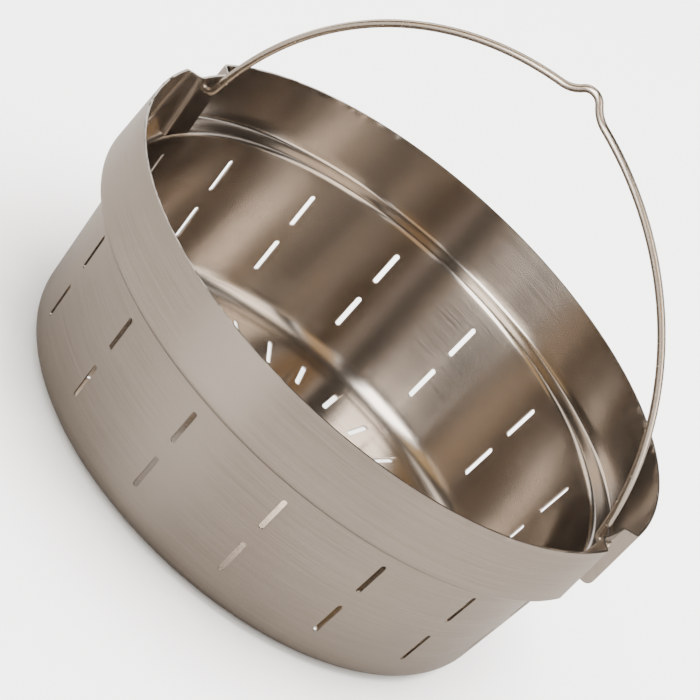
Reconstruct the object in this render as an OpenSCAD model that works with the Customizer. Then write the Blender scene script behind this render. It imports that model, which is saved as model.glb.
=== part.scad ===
// Perforated strainer basket that sits inside a pressure canner, with a folding wire bail.
// Origin at the middle of the flat bottom, +Z out of the opening, bail ears on the X axis.

/* [Basket shell] */

// outside diameter of the collar, mm
rim_diameter = 220;  // [200:1:250]

// height from the flat bottom to the rim, mm
basket_height = 86;  // [70:1:110]

// height of the straight collar above the ledge, mm
collar_height = 26;  // [22:0.5:32]

// width of the step between the collar and the body, mm
ledge_width = 8;  // [7:0.25:10]

// thickness of the sheet, mm
sheet = 0.8;  // [0.6:0.1:1.2]

// lean of the body wall from upright, degrees
wall_lean = 5.5;  // [2:0.5:8]

// outside radius where the wall meets the bottom, mm
bottom_corner = 9.5;  // [6:0.5:14]

// outside radius where the collar meets the ledge, mm
collar_corner = 2.5;  // [1.5:0.25:4]

// outside radius under the ledge, mm
shoulder_corner = 1.4;  // [1:0.1:2.5]

/* [Drain slots] */

// number of slot columns around the wall
wall_columns = 16;  // [12:1:20]

// width of every slot, mm
slot_width = 2;  // [1.5:0.1:3]

// length of one wall slot, mm
wall_slot_length = 14.3;  // [10:0.1:18]

// plain wall left between the two rows of slots, mm
wall_row_gap = 7.8;  // [5:0.1:12]

// plain wall left between the upper row and the ledge, mm
wall_top_gap = 8.6;  // [6:0.1:14]

// inner radius of the outer ring of bottom slots, mm
outer_ring_radius = 67;  // [60:0.5:70]

// length of one bottom slot, mm
bottom_slot_length = 15;  // [10:0.5:18]

// inner radius of the inner ring of bottom slots, mm
inner_ring_radius = 38;  // [30:0.5:42]

/* [Ears] */

// half width of the recess floor at the rim, mm
ear_floor_half = 7;  // [6:0.25:9]

// half width of the recess at its mouth, mm
ear_mouth_half = 13.5;  // [12:0.25:17]

// how far the recess floor stands outside the line of the body wall, mm
ear_step = 0.5;  // [0.3:0.05:0.9]

// height of the pivot hole below the rim, mm
pivot_drop = 5.5;  // [5:0.25:8]

// clearance around the wire in its pivot hole, mm
pivot_clearance = 0.35;  // [0.25:0.05:0.6]

/* [Bail] */

// wire diameter, mm
wire_diameter = 2.8;  // [2.4:0.1:3.4]

// gap between the bail's legs and the recess floors, mm
leg_gap = 0.9;  // [0.5:0.05:2]

// clearance between the folded bail's hump and the collar, mm
fold_clearance = 1.6;  // [1:0.1:4]

// lean of each leg from upright where it meets its pin, degrees
leg_lean = 8;  // [3:0.5:12]

// rise of the finger hump above the arch, wire centre, mm
hump_rise = 4.2;  // [3:0.1:6]

// radius at the top of the finger hump, wire centre, mm
hump_top_bend = 5;  // [4:0.25:8]

// radius at each foot of the finger hump, wire centre, mm
hump_foot_bend = 12;  // [10:0.5:18]

// radius of the bend into each pivot pin, wire centre, mm
pin_bend = 2.2;  // [2:0.1:4]

// diameter of the upset head on each pin, mm
head_diameter = 5.2;  // [4.6:0.1:6.4]

// thickness of the upset head, mm
head_thickness = 1.5;  // [1:0.1:2]

// end play between the recess floor and the head, mm
head_play = 0.5;  // [0.3:0.1:0.8]

// lean of the bail toward -Y as it stands, degrees
bail_lean = 4;  // [0:0.5:8]

/* [Hidden] */
$fn = 96;

steel = [0.72, 0.69, 0.66];
wire_steel = [0.78, 0.75, 0.71];
cut = 1;

rim_radius = rim_diameter / 2;
ledge_z = basket_height - collar_height;
body_top_radius = rim_radius - ledge_width;
body_foot_radius = body_top_radius - ledge_z * tan(wall_lean);
corner_x = body_foot_radius + bottom_corner * tan(wall_lean) - bottom_corner / cos(wall_lean);
shoulder_z = ledge_z - shoulder_corner;
shoulder_x = body_foot_radius + shoulder_z * tan(wall_lean) + shoulder_corner / cos(wall_lean);

upper_slot_z = ledge_z - wall_top_gap - wall_slot_length / 2;
lower_slot_z = upper_slot_z - wall_slot_length - wall_row_gap;

ear_foot_radius = body_foot_radius + ear_step;
ear_floor_x = ear_foot_radius + basket_height * tan(wall_lean);
ear_mouth_x = sqrt(rim_radius * rim_radius - ear_mouth_half * ear_mouth_half);
ear_side_slope = (ear_mouth_half - ear_floor_half) / (ear_mouth_x - ear_floor_x);
ear_low_z = shoulder_z - collar_corner;
ear_far_x = rim_radius + cut;
ear_side_grow = sheet * sqrt(1 + ear_side_slope * ear_side_slope);

pivot_z = basket_height - pivot_drop;
pivot_hole_radius = wire_diameter / 2 + pivot_clearance;
pivot_floor_x = ear_foot_radius + pivot_z * tan(wall_lean);
pivot_inside_x = pivot_floor_x - sheet / cos(wall_lean);

wire_radius = wire_diameter / 2;
run_gap = 0.1;
sleeve_length = 0.4;
sleeve_swell = 0.02;
foot_x = pivot_inside_x - leg_gap - wire_radius;
foot_z = pin_bend * (1 - sin(leg_lean));
pin_start_x = foot_x + pin_bend * cos(leg_lean);
head_x = pivot_floor_x + head_play;
arch_height = rim_radius - sheet - fold_clearance - wire_radius - hump_rise;
arch_rise = arch_height - foot_z;
arch_radius = (pow(foot_x, 2) + pow(arch_rise, 2))
    / (2 * (foot_x * cos(leg_lean) - arch_rise * sin(leg_lean)));
arch_x = foot_x - arch_radius * cos(leg_lean);
arch_z = foot_z - arch_radius * sin(leg_lean);
hump_top_z = arch_height + hump_rise - hump_top_bend;
hump_reach = arch_radius + hump_foot_bend;
hump_bends = hump_top_bend + hump_foot_bend;
hump_far = norm([arch_x, hump_top_z - arch_z]);
hump_spread = acos((pow(hump_far, 2) + pow(hump_reach, 2) - pow(hump_bends, 2))
    / (2 * hump_far * hump_reach));
hump_angle = hump_spread + atan2(-arch_x, hump_top_z - arch_z);
hump_foot_x = arch_x + hump_reach * sin(hump_angle);
hump_foot_z = arch_z + hump_reach * cos(hump_angle);
hump_flank = atan2(hump_foot_x, hump_foot_z - hump_top_z);

// Filled half section of the pot, with its skin moved inward by inset.
module pot_section(inset) {
    skin = inset / cos(wall_lean);
    foot = body_foot_radius - skin;
    corner = bottom_corner - inset;
    lip = collar_corner - inset;
    bend = shoulder_corner + inset;
    ledge = ledge_z + inset;
    top = basket_height + inset;
    corner_side = [corner_x + corner * cos(wall_lean), bottom_corner - corner * sin(wall_lean)];
    bend_side = [shoulder_x - bend * cos(wall_lean), shoulder_z + bend * sin(wall_lean)];
    polygon([
        [0, inset],
        [corner_x, inset],
        corner_side,
        [foot + ledge * tan(wall_lean), ledge],
        [0, ledge]
    ]);
    translate([corner_x, bottom_corner])
        circle(r = corner);
    translate([0, ledge])
        square([rim_radius - collar_corner, top - ledge]);
    translate([0, ledge + lip])
        square([rim_radius - inset, top - ledge - lip]);
    translate([rim_radius - collar_corner, ledge_z + collar_corner])
        circle(r = lip);
    difference() {
        polygon([
            bend_side,
            [shoulder_x, ledge],
            [shoulder_x, ledge + lip],
            [bend_side[0] - cut, ledge + lip],
            [bend_side[0] - cut, bend_side[1]]
        ]);
        translate([shoulder_x, shoulder_z])
            circle(r = bend);
    }
}

// Plan outline of one ear recess on +X, a wedge whose sides are moved out by grow.
module ear_outline(grow) {
    far_y = ear_mouth_half + grow + (ear_far_x - ear_mouth_x) * ear_side_slope;
    polygon([
        [ear_far_x - far_y / ear_side_slope, 0],
        [ear_far_x, far_y],
        [ear_far_x, -far_y]
    ]);
}

// Everything inside the leaning cone of the two recess floors, moved inward by inset.
module ear_cone(inset) {
    foot = ear_foot_radius - inset / cos(wall_lean);
    top = basket_height + 2 * cut;
    cylinder(h = top, r1 = foot, r2 = foot + top * tan(wall_lean));
}

// Metal of one ear before its hollow is cut, buried half a sheet deep in the collar and the ledge.
module ear_block() {
    difference() {
        intersection() {
            translate([0, 0, ear_low_z])
                linear_extrude(height = basket_height - ear_low_z)
                    ear_outline(ear_side_grow);
            rotate_extrude()
                pot_section(sheet / 2);
        }
        ear_cone(sheet);
    }
}

// Hollow of one ear outside its floor, with its pivot hole.
module ear_hollow() {
    difference() {
        translate([0, 0, ear_low_z])
            linear_extrude(height = basket_height - ear_low_z + cut)
                ear_outline(0);
        ear_cone(0);
    }
    translate([pivot_inside_x - cut, 0, pivot_z])
        rotate([0, 90, 0])
            cylinder(h = sheet + 2 * cut, r = pivot_hole_radius);
}

// Round-ended slot outline, long side along X.
module slot_outline(length) {
    straight = length - slot_width;
    square([straight, slot_width], center = true);
    for (side = [-1, 1])
        translate([side * straight / 2, 0])
            circle(d = slot_width, $fn = 32);
}

module wall_slot(z) {
    translate([body_foot_radius - cut, 0, z])
        rotate([0, 90, 0])
            linear_extrude(height = ledge_width + ledge_z * tan(wall_lean) + cut)
                slot_outline(wall_slot_length);
}

module bottom_slot(inner_radius) {
    translate([inner_radius + bottom_slot_length / 2, 0, -cut])
        linear_extrude(height = sheet + 2 * cut)
            slot_outline(bottom_slot_length);
}

module wall_slots() {
    for (i = [0 : wall_columns - 1])
        rotate([0, 0, i * 360 / wall_columns]) {
            wall_slot(upper_slot_z);
            wall_slot(lower_slot_z);
        }
}

module bottom_slots() {
    for (i = [0 : 2 * wall_columns - 1])
        rotate([0, 0, i * 180 / wall_columns])
            bottom_slot(outer_ring_radius);
    for (i = [0 : wall_columns - 1])
        rotate([0, 0, i * 360 / wall_columns])
            bottom_slot(inner_ring_radius);
}

// One pressed sheet: collar, ledge, leaning wall and flat bottom, with two ears.
module basket_shell() {
    color(steel)
        difference() {
            union() {
                rotate_extrude()
                    difference() {
                        pot_section(0);
                        pot_section(sheet);
                    }
                ear_block();
                rotate([0, 0, 180])
                    ear_block();
            }
            ear_hollow();
            rotate([0, 0, 180])
                ear_hollow();
            wall_slots();
            bottom_slots();
        }
}

// Bent run of wire in the XZ plane about a centre, stopped a little short at both ends.
module wire_arc(centre_x, centre_z, bend, start, sweep) {
    trim = run_gap / 2 / bend * 180 / PI;
    translate([centre_x, 0, centre_z])
        rotate([90, 0, 0])
            rotate([0, 0, start + trim])
                rotate_extrude(angle = sweep - 2 * trim)
                    translate([bend, 0])
                        circle(r = wire_radius, $fn = 48);
}

// Short sleeve that bridges two runs, a hair fatter than the wire and leaning with it.
module wire_sleeve(x, z, slope) {
    translate([x, 0, z])
        rotate([0, 90 + slope, 0])
            cylinder(h = sleeve_length, r = wire_radius + sleeve_swell, center = true);
}

// One leg of the bail on +X, from the foot of the hump to the upset head.
module bail_leg() {
    wire_sleeve(hump_top_bend * sin(hump_flank), hump_top_z + hump_top_bend * cos(hump_flank), hump_flank);
    wire_arc(hump_foot_x, hump_foot_z, hump_foot_bend, 270 - hump_flank, hump_flank - hump_angle);
    wire_sleeve(arch_x + arch_radius * sin(hump_angle), arch_z + arch_radius * cos(hump_angle), hump_angle);
    wire_arc(arch_x, arch_z, arch_radius, leg_lean, 90 - hump_angle - leg_lean);
    wire_sleeve(foot_x, foot_z, 90 - leg_lean);
    wire_arc(pin_start_x, pin_bend, pin_bend, 180 + leg_lean, 90 - leg_lean);
    wire_sleeve(pin_start_x, 0, 0);
    translate([pin_start_x + run_gap / 2, 0, 0])
        rotate([0, 90, 0])
            cylinder(h = head_x - pin_start_x + head_thickness / 2, r = wire_radius);
    translate([head_x, 0, 0])
        rotate([0, 90, 0])
            cylinder(h = head_thickness, d = head_diameter);
}

// One bent wire: arch, finger hump, and a headed pin through each ear.
module bail() {
    color(wire_steel)
        translate([0, 0, pivot_z])
            rotate([bail_lean, 0, 0]) {
                wire_arc(0, hump_top_z, hump_top_bend, 90 - hump_flank, 2 * hump_flank);
                bail_leg();
                mirror([1, 0, 0])
                    bail_leg();
            }
}

basket_shell();
bail();
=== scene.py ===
import math
import bmesh
import bpy
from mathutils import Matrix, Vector


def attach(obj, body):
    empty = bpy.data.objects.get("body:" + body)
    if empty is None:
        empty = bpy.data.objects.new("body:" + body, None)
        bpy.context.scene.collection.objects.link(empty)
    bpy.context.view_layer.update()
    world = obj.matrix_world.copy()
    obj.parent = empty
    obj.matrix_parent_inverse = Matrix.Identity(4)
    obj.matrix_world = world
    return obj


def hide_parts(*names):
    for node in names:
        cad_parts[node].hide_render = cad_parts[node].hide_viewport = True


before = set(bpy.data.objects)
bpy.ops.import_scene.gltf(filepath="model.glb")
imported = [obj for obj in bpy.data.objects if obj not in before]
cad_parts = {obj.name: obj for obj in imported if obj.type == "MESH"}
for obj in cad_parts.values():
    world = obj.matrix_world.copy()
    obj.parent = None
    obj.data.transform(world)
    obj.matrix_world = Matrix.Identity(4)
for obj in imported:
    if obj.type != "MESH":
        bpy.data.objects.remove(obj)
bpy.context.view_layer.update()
print("frame loaded", sorted(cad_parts))

mm = 0.001
pi = math.pi


cameraView = {
    "place": (0.24335, -0.95541, 0.52678),
    "turnDegrees": (56.9757, -37.8851, 36.2473),
    "lens": 165.37,
    "sensor": 36,
}

camData = bpy.data.cameras.new("productCamera")
camData.lens = cameraView["lens"]
camData.sensor_width = cameraView["sensor"]
camera = bpy.data.objects.new("productCamera", camData)
camera.location = cameraView["place"]
camera.rotation_euler = [math.radians(a) for a in cameraView["turnDegrees"]]
bpy.context.scene.collection.objects.link(camera)
bpy.context.scene.camera = camera


def clearSelection():
    if bpy.context.mode != "OBJECT":
        bpy.ops.object.mode_set(mode="OBJECT")
    bpy.ops.object.select_all(action="DESELECT")


def pick(piece):
    clearSelection()
    piece.select_set(True)
    bpy.context.view_layer.objects.active = piece


def editPiece(piece, kind="VERT"):
    pick(piece)
    bpy.ops.object.mode_set(mode="EDIT")
    bpy.ops.mesh.select_mode(type=kind)


def leaveEdit():
    bpy.ops.object.mode_set(mode="OBJECT")


def selectWhere(piece, test):
    # picks vertices by their place, in edit mode
    bm = bmesh.from_edit_mesh(piece.data)
    for part in (bm.faces, bm.edges, bm.verts):
        for item in part:
            item.select = False
    for v in bm.verts:
        v.select = bool(test(v.co))
    bm.select_flush_mode()
    bmesh.update_edit_mesh(piece.data)


def settle(piece):
    # merges doubles and turns every face outward
    editPiece(piece)
    bpy.ops.mesh.select_all(action="SELECT")
    bpy.ops.mesh.remove_doubles(threshold=0.000002)
    bpy.ops.mesh.normals_make_consistent(inside=False)
    leaveEdit()


def useModifier(piece, name, kind, **settings):
    pick(piece)
    mod = piece.modifiers.new(name, kind)
    for key, value in settings.items():
        setattr(mod, key, value)
    bpy.ops.object.modifier_apply(modifier=name)


shell = {
    "rimRadius": 110 * mm,
    "height": 86 * mm,
    "collarHeight": 26 * mm,
    "ledgeWidth": 8 * mm,
    "sheet": 0.8 * mm,
    "wallLean": math.radians(5.5),
    "bottomCorner": 9.5 * mm,
    "collarCorner": 2.5 * mm,
    "shoulderCorner": 1.4 * mm,
    "turns": 384,             # steps around the pot
    "slotWidth": 2 * mm,
    "wallColumns": 16,
    "wallSlotLength": 14.3 * mm,
    "wallSlotMiddles": (44.25 * mm, 22.15 * mm),
    "bottomSlotLength": 15 * mm,
    "bottomRings": ((67 * mm, 32), (38 * mm, 16)),   # inner radius, how many
    "earFloorHalf": 7 * mm,
    "earMouthHalf": 13.8 * mm,
    "earStep": 0.5 * mm,      # the recess floor stands this far outside the line of the wall
    "earRelease": 1.2 * mm,   # how much the ledge is drawn up where an ear runs into it
    "pivotHeight": 80.5 * mm,
    "pivotHole": 1.75 * mm,
    "edgeBreak": 0.12 * mm,
    "bottomLoops": (12 * mm, 24 * mm, 36 * mm, 46 * mm, 56 * mm, 66 * mm, 76 * mm),
    "cornerSteps": 12,        # edge loops in each bend and each straight of the section
    "wallSteps": 16,
    "shoulderSteps": 6,
    "lipSteps": 8,
    "collarSteps": 9,
    "slotSides": 16,          # sides of the round ends of a slot punch
    "holeSides": 32,
    "punchDepth": 16 * mm,
    "drillLength": 230 * mm,  # longer than the rim is wide: one drill makes both pivot holes
    "earZone": (98 * mm, 17.5 * mm),   # where the mesh is made finer: least x, greatest y
    "edgeBreakAngle": math.radians(45),
    "smoothAngle": math.radians(35),
}


def wallFoot(s):
    # outer radius the leaning wall would have at the very bottom
    return s["rimRadius"] - s["ledgeWidth"] - (s["height"] - s["collarHeight"]) * math.tan(s["wallLean"])


def shellProfile(s):
    # half section of the outer skin, from the middle of the bottom to the rim
    lean = s["wallLean"]
    ledge = s["height"] - s["collarHeight"]
    foot = wallFoot(s)
    cornerX = foot + s["bottomCorner"] * (math.tan(lean) - 1 / math.cos(lean))
    shoulderZ = ledge - s["shoulderCorner"]
    shoulderX = foot + shoulderZ * math.tan(lean) + s["shoulderCorner"] / math.cos(lean)
    rings = [(r, 0) for r in s["bottomLoops"]]
    for i in range(s["cornerSteps"] + 1):
        a = -pi / 2 + (pi / 2 - lean) * i / s["cornerSteps"]
        rings.append((cornerX + s["bottomCorner"] * math.cos(a),
                      s["bottomCorner"] * (1 + math.sin(a))))
    low = rings[-1]
    high = (shoulderX - s["shoulderCorner"] * math.cos(lean),
            shoulderZ + s["shoulderCorner"] * math.sin(lean))
    for i in range(1, s["wallSteps"]):
        k = i / s["wallSteps"]
        rings.append((low[0] + (high[0] - low[0]) * k, low[1] + (high[1] - low[1]) * k))
    for i in range(s["shoulderSteps"] + 1):
        a = pi - lean - (pi / 2 - lean) * i / s["shoulderSteps"]
        rings.append((shoulderX + s["shoulderCorner"] * math.cos(a),
                      shoulderZ + s["shoulderCorner"] * math.sin(a)))
    lipX = s["rimRadius"] - s["collarCorner"]
    rings.append(((shoulderX + lipX) / 2, ledge))
    for i in range(s["lipSteps"] + 1):
        a = -pi / 2 + pi / 2 * i / s["lipSteps"]
        rings.append((lipX + s["collarCorner"] * math.cos(a),
                      ledge + s["collarCorner"] * (1 + math.sin(a))))
    straight = s["collarHeight"] - s["collarCorner"]
    for i in range(1, s["collarSteps"] + 1):
        rings.append((s["rimRadius"], ledge + s["collarCorner"] + straight * i / s["collarSteps"]))
    return rings


def spinShell(s):
    rings = shellProfile(s)
    clearSelection()
    bpy.ops.mesh.primitive_circle_add(vertices=s["turns"], radius=rings[0][0], fill_type="TRIFAN")
    piece = bpy.context.object
    piece.name = "strainerShell"
    editPiece(piece)
    selectWhere(piece, lambda co: co.xy.length > rings[0][0] / 2)
    for (r0, z0), (r1, z1) in zip(rings, rings[1:]):
        bpy.ops.mesh.extrude_edges_move(TRANSFORM_OT_translate={"value": (0, 0, z1 - z0)})
        bpy.ops.transform.resize(value=(r1 / r0, r1 / r0, 1), center_override=(0, 0, z1))
    leaveEdit()
    return piece


def earPush(y, s):
    # 1 on the recess floor, easing to 0 past the mouth
    t = (s["earMouthHalf"] - abs(y)) / (s["earMouthHalf"] - s["earFloorHalf"])
    t = min(1, max(0, t))
    return t * t * t * (t * (6 * t - 15) + 10)   # smooth at both ends


def pressEars(piece, s):
    # a finer mesh where the two recesses go, then collar and ledge are pressed back to the leaning wall
    ledge = s["height"] - s["collarHeight"]
    low = ledge - 1 * mm      # starts just under the ledge, in the shoulder's bend
    earX, earY = s["earZone"]
    ledgeFrom = s["rimRadius"] - s["ledgeWidth"]
    ledgeTo = s["rimRadius"] - s["collarCorner"]
    editPiece(piece)
    selectWhere(piece, lambda co: co.z > low and abs(co.y) < earY and abs(co.x) > earX)
    bpy.ops.mesh.subdivide(number_cuts=2)
    leaveEdit()
    for v in piece.data.vertices:
        if v.co.z < low or abs(v.co.y) > s["earMouthHalf"]:
            continue
        push = earPush(v.co.y, s)
        outward = min(1, max(0, (v.co.xy.length - ledgeFrom) / (ledgeTo - ledgeFrom)))
        below = min(1, max(0, 1 - (v.co.z - ledge) / s["collarCorner"]))
        v.co.z += push * outward * below * s["earRelease"]
        wall = math.sqrt(s["rimRadius"] ** 2 - v.co.y ** 2)
        floorX = math.sqrt((wallFoot(s) + s["earStep"] + v.co.z * math.tan(s["wallLean"])) ** 2 - v.co.y ** 2)
        reach = wall + (floorX - wall) * push
        if abs(v.co.x) > reach:
            v.co.x = math.copysign(reach, v.co.x)


def slotCutter(length, s):
    # a round-ended punch lying along X, made from a cylinder pulled apart
    halfSide = pi / s["slotSides"]   # turned so that no corner sits on the middle line
    clearSelection()
    bpy.ops.mesh.primitive_cylinder_add(vertices=s["slotSides"], radius=s["slotWidth"] / 2,
                                        depth=s["punchDepth"], rotation=(0, 0, halfSide))
    punch = bpy.context.object
    pick(punch)
    bpy.ops.object.transform_apply(location=False, rotation=True, scale=False)
    pull = (length - s["slotWidth"]) / 2
    for side in (-1, 1):
        editPiece(punch)
        selectWhere(punch, lambda co: co.x * side > 0)
        bpy.ops.transform.translate(value=(side * pull, 0, 0))
        leaveEdit()
    return punch


def ringOfCuts(punch, count):
    editPiece(punch)
    bpy.ops.mesh.select_all(action="SELECT")
    bpy.ops.mesh.spin(steps=count - 1, angle=2 * pi * (count - 1) / count, dupli=True,
                      center=(0, 0, 0), axis=(0, 0, 1))
    leaveEdit()


def placePunch(punch, place, upright):
    if upright:
        punch.rotation_euler = (0, pi / 2, 0)
    punch.location = place
    pick(punch)
    bpy.ops.object.transform_apply(location=True, rotation=True, scale=False)


def punchShell(piece, s):
    cutters = []
    foot = s["rimRadius"] - s["ledgeWidth"] - 3 * mm   # each wall punch is centred near the wall
    for z in s["wallSlotMiddles"]:
        punch = slotCutter(s["wallSlotLength"], s)
        placePunch(punch, (foot - 1 * mm, 0, z), True)
        ringOfCuts(punch, s["wallColumns"])
        cutters.append(punch)
    for inner, count in s["bottomRings"]:
        punch = slotCutter(s["bottomSlotLength"], s)
        placePunch(punch, (inner + s["bottomSlotLength"] / 2, 0, 0), False)
        ringOfCuts(punch, count)
        cutters.append(punch)
    clearSelection()
    bpy.ops.mesh.primitive_cylinder_add(vertices=s["holeSides"], radius=s["pivotHole"],
                                        depth=s["drillLength"],
                                        location=(0, 0, s["pivotHeight"]), rotation=(0, pi / 2, 0))
    cutters.append(bpy.context.object)
    for punch in cutters:
        settle(punch)
        useModifier(piece, "punch", "BOOLEAN", operation="DIFFERENCE", solver="EXACT", object=punch)
        bpy.data.objects.remove(punch)


def makeShell(s):
    piece = spinShell(s)
    pressEars(piece, s)
    settle(piece)
    useModifier(piece, "sheet", "SOLIDIFY", thickness=s["sheet"], offset=-1, use_even_offset=True)
    punchShell(piece, s)
    useModifier(piece, "edges", "BEVEL", width=s["edgeBreak"], segments=2, limit_method="ANGLE",
                angle_limit=s["edgeBreakAngle"], use_clamp_overlap=True)
    pick(piece)
    bpy.ops.object.shade_smooth_by_angle(angle=s["smoothAngle"])
    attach(piece, "basket")
    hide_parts("basket_shell")
    print("shell made", len(piece.data.polygons), "faces")
    return piece


bail = {
    "wire": 2.8 * mm,
    "around": 24,             # sides of the wire
    "legX": 101.37 * mm,      # wire centre at the foot of each leg
    "legLean": math.radians(8),
    "archHeight": 102 * mm,
    "humpRise": 4.2 * mm,
    "humpTopBend": 5 * mm,
    "humpFootBend": 12 * mm,
    "pinBend": 2.2 * mm,
    "pivotHeight": 80.5 * mm,
    "headX": 104.97 * mm,
    "headRadius": 2.6 * mm,
    "headThick": 1.5 * mm,
    "lean": math.radians(4),
    "humpTopSteps": 10,       # edge loops in each bend
    "humpFootSteps": 12,
    "archSteps": 72,
    "pinSteps": 12,
    "smoothAngle": math.radians(40),
}


def bendWire(centre, angle, steps):
    # carries the wire's open end around a bend in the XZ plane; with no window, spin turns backwards
    bpy.ops.mesh.spin(steps=steps, angle=-angle, dupli=False, center=centre, axis=(0, 1, 0))


def makeBail(b):
    zero = b["pivotHeight"]
    lean = b["legLean"]
    legZ = b["pinBend"] * (1 - math.sin(lean))
    pinX = b["legX"] + b["pinBend"] * math.cos(lean)
    rise = b["archHeight"] - legZ
    # the arch leaves the leg along its lean and reaches archHeight over the middle
    archRadius = (b["legX"] ** 2 + rise ** 2) / (2 * (b["legX"] * math.cos(lean) - rise * math.sin(lean)))
    archX = b["legX"] - archRadius * math.cos(lean)
    archZ = legZ - archRadius * math.sin(lean)
    topZ = b["archHeight"] + b["humpRise"] - b["humpTopBend"]
    reach = archRadius + b["humpFootBend"]
    bends = b["humpTopBend"] + b["humpFootBend"]
    far = math.hypot(archX, topZ - archZ)
    spread = math.acos((far ** 2 + reach ** 2 - bends ** 2) / (2 * far * reach))
    humpAngle = spread + math.atan2(-archX, topZ - archZ)
    humpX = archX + reach * math.sin(humpAngle)
    humpZ = archZ + reach * math.cos(humpAngle)
    flank = math.atan2(humpX, humpZ - topZ)
    clearSelection()
    bpy.ops.mesh.primitive_circle_add(vertices=b["around"], radius=b["wire"] / 2, fill_type="NOTHING",
                                      location=(0, 0, zero + topZ + b["humpTopBend"]), rotation=(0, pi / 2, 0))
    piece = bpy.context.object
    piece.name = "bailWire"
    pick(piece)
    bpy.ops.object.transform_apply(location=True, rotation=True, scale=False)
    editPiece(piece)
    bpy.ops.mesh.select_all(action="SELECT")
    bendWire((0, 0, zero + topZ), flank, b["humpTopSteps"])
    bendWire((humpX, 0, zero + humpZ), humpAngle - flank, b["humpFootSteps"])
    bendWire((archX, 0, zero + archZ), pi / 2 - humpAngle - lean, b["archSteps"])
    bendWire((pinX, 0, zero + b["pinBend"]), lean - pi / 2, b["pinSteps"])
    # steps out along the pin, and how much the wire grows at each, to make the upset head
    outline = (
        (b["headX"] - pinX, 1),
        (0, b["headRadius"] * 0.94 / (b["wire"] / 2)),
        (0.15 * mm, 1 / 0.94),
        (b["headThick"] * 0.62, 1),
        (b["headThick"] * 0.2, 0.92),
        (b["headThick"] * 0.08, 0.7),
    )
    x = pinX
    for step, grow in outline:
        x += step
        bpy.ops.mesh.extrude_edges_move(TRANSFORM_OT_translate={"value": (step, 0, 0)})
        bpy.ops.transform.resize(value=(1, grow, grow), center_override=(x, 0, zero))
    bpy.ops.mesh.edge_face_add()
    bpy.ops.mesh.poke()
    leaveEdit()
    useModifier(piece, "otherLeg", "MIRROR", use_axis=(True, False, False), merge_threshold=0.000005)
    settle(piece)
    editPiece(piece)
    bpy.ops.mesh.select_all(action="SELECT")
    bpy.ops.transform.rotate(value=-b["lean"], orient_axis="X", center_override=(0, 0, zero))
    leaveEdit()
    pick(piece)
    bpy.ops.object.shade_smooth_by_angle(angle=b["smoothAngle"])
    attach(piece, "bail")
    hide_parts("bail")
    print("bail made", len(piece.data.polygons), "faces")
    return piece


def colour(code):
    # sRGB hex to linear
    parts = [int(code[i:i + 2], 16) / 255 for i in (1, 3, 5)]
    return [c / 12.92 if c <= 0.04045 else ((c + 0.055) / 1.055) ** 2.4 for c in parts] + [1]


def addNode(mat, kind, settings=None, inputs=None, links=None):
    node = mat.node_tree.nodes.new(kind)
    for key, value in (settings or {}).items():
        setattr(node, key, value)
    for key, value in (inputs or {}).items():
        node.inputs[key].default_value = value
    for key, source in (links or {}).items():
        mat.node_tree.links.new(source, node.inputs[key])
    return node


def newMaterial(name):
    mat = bpy.data.materials.new(name)
    mat.use_nodes = True
    mat.node_tree.nodes.clear()
    return mat


steelLook = {
    "light": "#B8B1AA",
    "dark": "#A1988F",
    "rough": 0.18,
    "roughSwing": 0.05,
    "anisotropy": 0.9,
    "grainWidth": 0.45 * mm,  # coarser than real grain, which is too fine to show
    "grainRun": 2.5,          # noise steps per radian: the grain lines are long
    "grainBump": 0.012 * mm,
    "bumpStrength": 0.35,
    "cloudScale": 22.0,       # soft patches about 45 mm across
    "cloudShare": 0.35,
}


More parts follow.
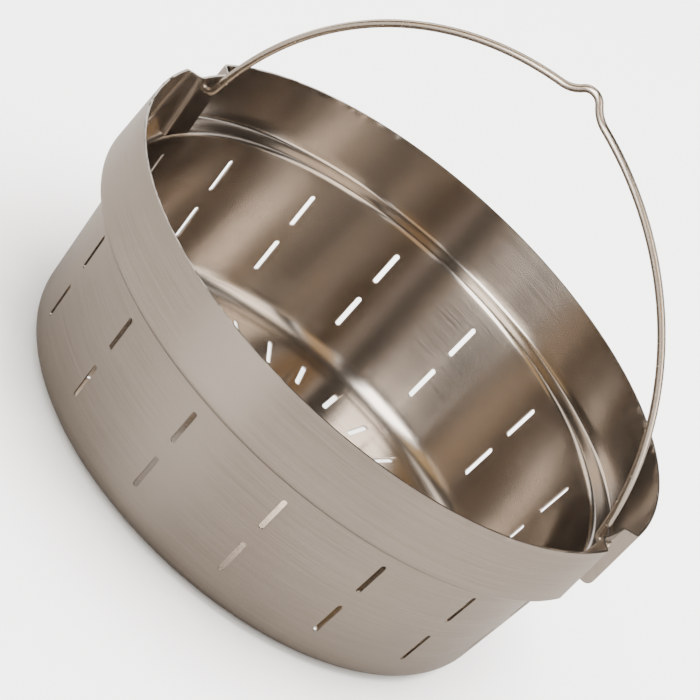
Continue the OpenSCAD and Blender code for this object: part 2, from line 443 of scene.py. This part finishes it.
def spunSteel(look):
    # stainless sheet, drawn then satin-brushed while it spins: light and dark run up and down the wall
    mat = newMaterial("satinSpunStainless")
    place = addNode(mat, "ShaderNodeTexCoord").outputs["Object"]
    flat = addNode(mat, "ShaderNodeVectorMath", {"operation": "MULTIPLY"}, {1: (1, 1, 0)},
                   {0: place}).outputs[0]
    around = addNode(mat, "ShaderNodeVectorMath", {"operation": "NORMALIZE"}, None, {0: flat}).outputs[0]
    radius = addNode(mat, "ShaderNodeVectorMath", {"operation": "LENGTH"}, None, {0: flat}).outputs["Value"]
    height = addNode(mat, "ShaderNodeSeparateXYZ", None, None, {0: place}).outputs["Z"]
    along = addNode(mat, "ShaderNodeMath", {"operation": "ADD"}, None, {0: radius, 1: height}).outputs[0]
    fine = addNode(mat, "ShaderNodeMath", {"operation": "MULTIPLY"}, {1: 1 / look["grainWidth"]},
                   {0: along}).outputs[0]
    rise = addNode(mat, "ShaderNodeCombineXYZ", None, None, {"Z": fine}).outputs[0]
    ringway = addNode(mat, "ShaderNodeVectorMath", {"operation": "SCALE"}, {"Scale": look["grainRun"]},
                      {0: around}).outputs[0]
    spot = addNode(mat, "ShaderNodeVectorMath", {"operation": "ADD"}, None, {0: rise, 1: ringway}).outputs[0]
    grain = addNode(mat, "ShaderNodeTexNoise", None, {"Scale": 1.0, "Detail": 4.0, "Roughness": 0.6},
                    {"Vector": spot}).outputs["Fac"]
    cloud = addNode(mat, "ShaderNodeTexNoise", None, {"Scale": look["cloudScale"], "Detail": 3.0},
                    {"Vector": place}).outputs["Fac"]
    mixed = addNode(mat, "ShaderNodeMath", {"operation": "MULTIPLY_ADD"}, {1: look["cloudShare"]},
                    {0: cloud, 2: grain}).outputs[0]
    tint = addNode(mat, "ShaderNodeMapRange", None, {"From Min": 0.4, "From Max": 0.95},
                   {"Value": mixed}).outputs[0]
    base = addNode(mat, "ShaderNodeMix", {"data_type": "RGBA"},
                   {6: colour(look["light"]), 7: colour(look["dark"])}, {0: tint}).outputs[2]
    rough = addNode(mat, "ShaderNodeMapRange", None,
                    {"From Min": 0.3, "From Max": 0.8, "To Min": look["rough"] - look["roughSwing"],
                     "To Max": look["rough"] + look["roughSwing"]}, {"Value": mixed}).outputs[0]
    bump = addNode(mat, "ShaderNodeBump", None,
                   {"Strength": look["bumpStrength"], "Distance": look["grainBump"]},
                   {"Height": grain}).outputs[0]
    # the quarter turn stretches each highlight across the grain
    turn = addNode(mat, "ShaderNodeTangent", {"direction_type": "RADIAL", "axis": "Z"}).outputs[0]
    steel = addNode(mat, "ShaderNodeBsdfPrincipled", None,
                    {"Metallic": 1.0, "Anisotropic": look["anisotropy"], "Anisotropic Rotation": 0.25},
                    {"Base Color": base, "Roughness": rough, "Normal": bump, "Tangent": turn})
    addNode(mat, "ShaderNodeOutputMaterial", None, None, {"Surface": steel.outputs[0]})
    return mat


wireLook = {
    "light": "#CFC7BE",
    "dark": "#B4A99E",
    "rough": (0.18, 0.32),
    "scuffSize": 1.2 * mm,
    "scuffBump": 0.01 * mm,
    "bumpStrength": 0.15,
}


def drawnWire(look):
    # stainless spring wire, pulled through a die: no grain, and a little brighter than the sheet
    mat = newMaterial("drawnStainlessWire")
    place = addNode(mat, "ShaderNodeTexCoord").outputs["Object"]
    scuff = addNode(mat, "ShaderNodeTexNoise", None, {"Scale": 1 / look["scuffSize"], "Detail": 4.0},
                    {"Vector": place}).outputs["Fac"]
    base = addNode(mat, "ShaderNodeMix", {"data_type": "RGBA"},
                   {6: colour(look["light"]), 7: colour(look["dark"])}, {0: scuff}).outputs[2]
    rough = addNode(mat, "ShaderNodeMapRange", None,
                    {"To Min": look["rough"][0], "To Max": look["rough"][1]}, {"Value": scuff}).outputs[0]
    bump = addNode(mat, "ShaderNodeBump", None,
                   {"Strength": look["bumpStrength"], "Distance": look["scuffBump"]},
                   {"Height": scuff}).outputs[0]
    steel = addNode(mat, "ShaderNodeBsdfPrincipled", None, {"Metallic": 1.0},
                    {"Base Color": base, "Roughness": rough, "Normal": bump})
    addNode(mat, "ShaderNodeOutputMaterial", None, None, {"Surface": steel.outputs[0]})
    return mat


def plainPaint(name, code, rough, glow=0):
    mat = newMaterial(name)
    coat = addNode(mat, "ShaderNodeBsdfPrincipled", None,
                   {"Base Color": colour(code), "Roughness": rough, "Emission Color": colour(code),
                    "Emission Strength": glow})
    addNode(mat, "ShaderNodeOutputMaterial", None, None, {"Surface": coat.outputs[0]})
    return mat


def dress(piece, mat):
    piece.data.materials.clear()
    piece.data.materials.append(mat)


shellPiece = makeShell(shell)
bailPiece = makeBail(bail)
dress(shellPiece, spunSteel(steelLook))
dress(bailPiece, drawnWire(wireLook))
print("materials on")


studio = {
    "floor": "#FBFAF8",
    "floorSize": 60,
    "paperRough": 0.9,
    "cardRough": 0.8,
    "aimAt": (0, 0, 0.06),
    "world": "#F4F2EF",
    "worldStrength": 2.8,
}

# area lamps light the floor and stay out of the metal's reflections
lamps = {
    "overhead": {"place": (0.3, 0.2, 1.9), "size": 1.6, "watts": 130},
    "backSoft": {"place": (0.5, 1.8, 1.0), "size": 0.9, "watts": 16},
}

# tall cards in a ring, seen only in reflections: azimuth and width in degrees, colour, glow
ringCards = {
    "radius": 1.1,
    "low": 0.1,
    "high": 3.2,
    "cards": (
        (30, 40, "#0E0C0A", 0),
        (-12, 34, "#C9BDAE", 2.0),
        (-38, 12, "#120E0B", 0),
        (-58, 22, "#7A6448", 0.5),
        (-78, 14, "#120E0B", 0),
        (-104, 30, "#FFFBF5", 8.0),
        (-136, 22, "#7A6544", 0.3),
        (-162, 30, "#080605", 0),
        (171, 16, "#C9BDAE", 1.0),
        (140, 30, "#0E0C0A", 0),
        (85, 50, "#2A241E", 0),
    ),
}

# flat cards, seen only in reflections: name, size, height, colour
levelCards = (
    ("lowCard", 3.2, 0.0004, "#837D77"),
    ("highCard", 2.4, 3.2, "#2E2721"),
)


def aimed(place):
    # turns a lamp to face the basket
    return (Vector(studio["aimAt"]) - Vector(place)).to_track_quat("-Z", "Y").to_euler()


def hideCard(card, name, code, glow):
    # a card only reflections can see
    card.name = name
    dress(card, plainPaint(name + "Paint", code, studio["cardRough"], glow))
    card.visible_camera = False
    card.visible_shadow = False
    card.visible_diffuse = False


def setStudio():
    clearSelection()
    bpy.ops.mesh.primitive_plane_add(size=studio["floorSize"])
    floor = bpy.context.object
    floor.name = "studioFloor"
    dress(floor, plainPaint("matteSeamlessPaper", studio["floor"], studio["paperRough"]))
    for name, size, height, code in levelCards:
        bpy.ops.mesh.primitive_plane_add(size=size, location=(0, 0, height))
        hideCard(bpy.context.object, name, code, 0)
    ringRadius = ringCards["radius"]
    tall = ringCards["high"] - ringCards["low"]
    for azimuth, spread, code, glow in ringCards["cards"]:
        turn = math.radians(azimuth)
        wide = 2 * ringRadius * math.tan(math.radians(spread) / 2)
        place = (ringRadius * math.cos(turn), ringRadius * math.sin(turn),
                 (ringCards["low"] + ringCards["high"]) / 2)
        bpy.ops.mesh.primitive_plane_add(size=1, location=place, rotation=(pi / 2, 0, turn + pi / 2))
        card = bpy.context.object
        card.scale = (wide, tall, 1)
        pick(card)
        bpy.ops.object.transform_apply(location=False, rotation=False, scale=True)
        hideCard(card, "ringCard%d" % azimuth, code, glow)
    for name, lamp in lamps.items():
        data = bpy.data.lights.new(name, "AREA")
        data.size = lamp["size"]
        data.energy = lamp["watts"]
        light = bpy.data.objects.new(name, data)
        light.location = lamp["place"]
        light.rotation_euler = aimed(lamp["place"])
        light.visible_camera = False
        light.visible_glossy = False
        bpy.context.scene.collection.objects.link(light)
    world = bpy.data.worlds.new("studioWorld")
    world.use_nodes = True
    sky = world.node_tree.nodes["Background"]
    sky.inputs["Color"].default_value = colour(studio["world"])
    sky.inputs["Strength"].default_value = studio["worldStrength"]
    bpy.context.scene.world = world


setStudio()
print("studio lit")
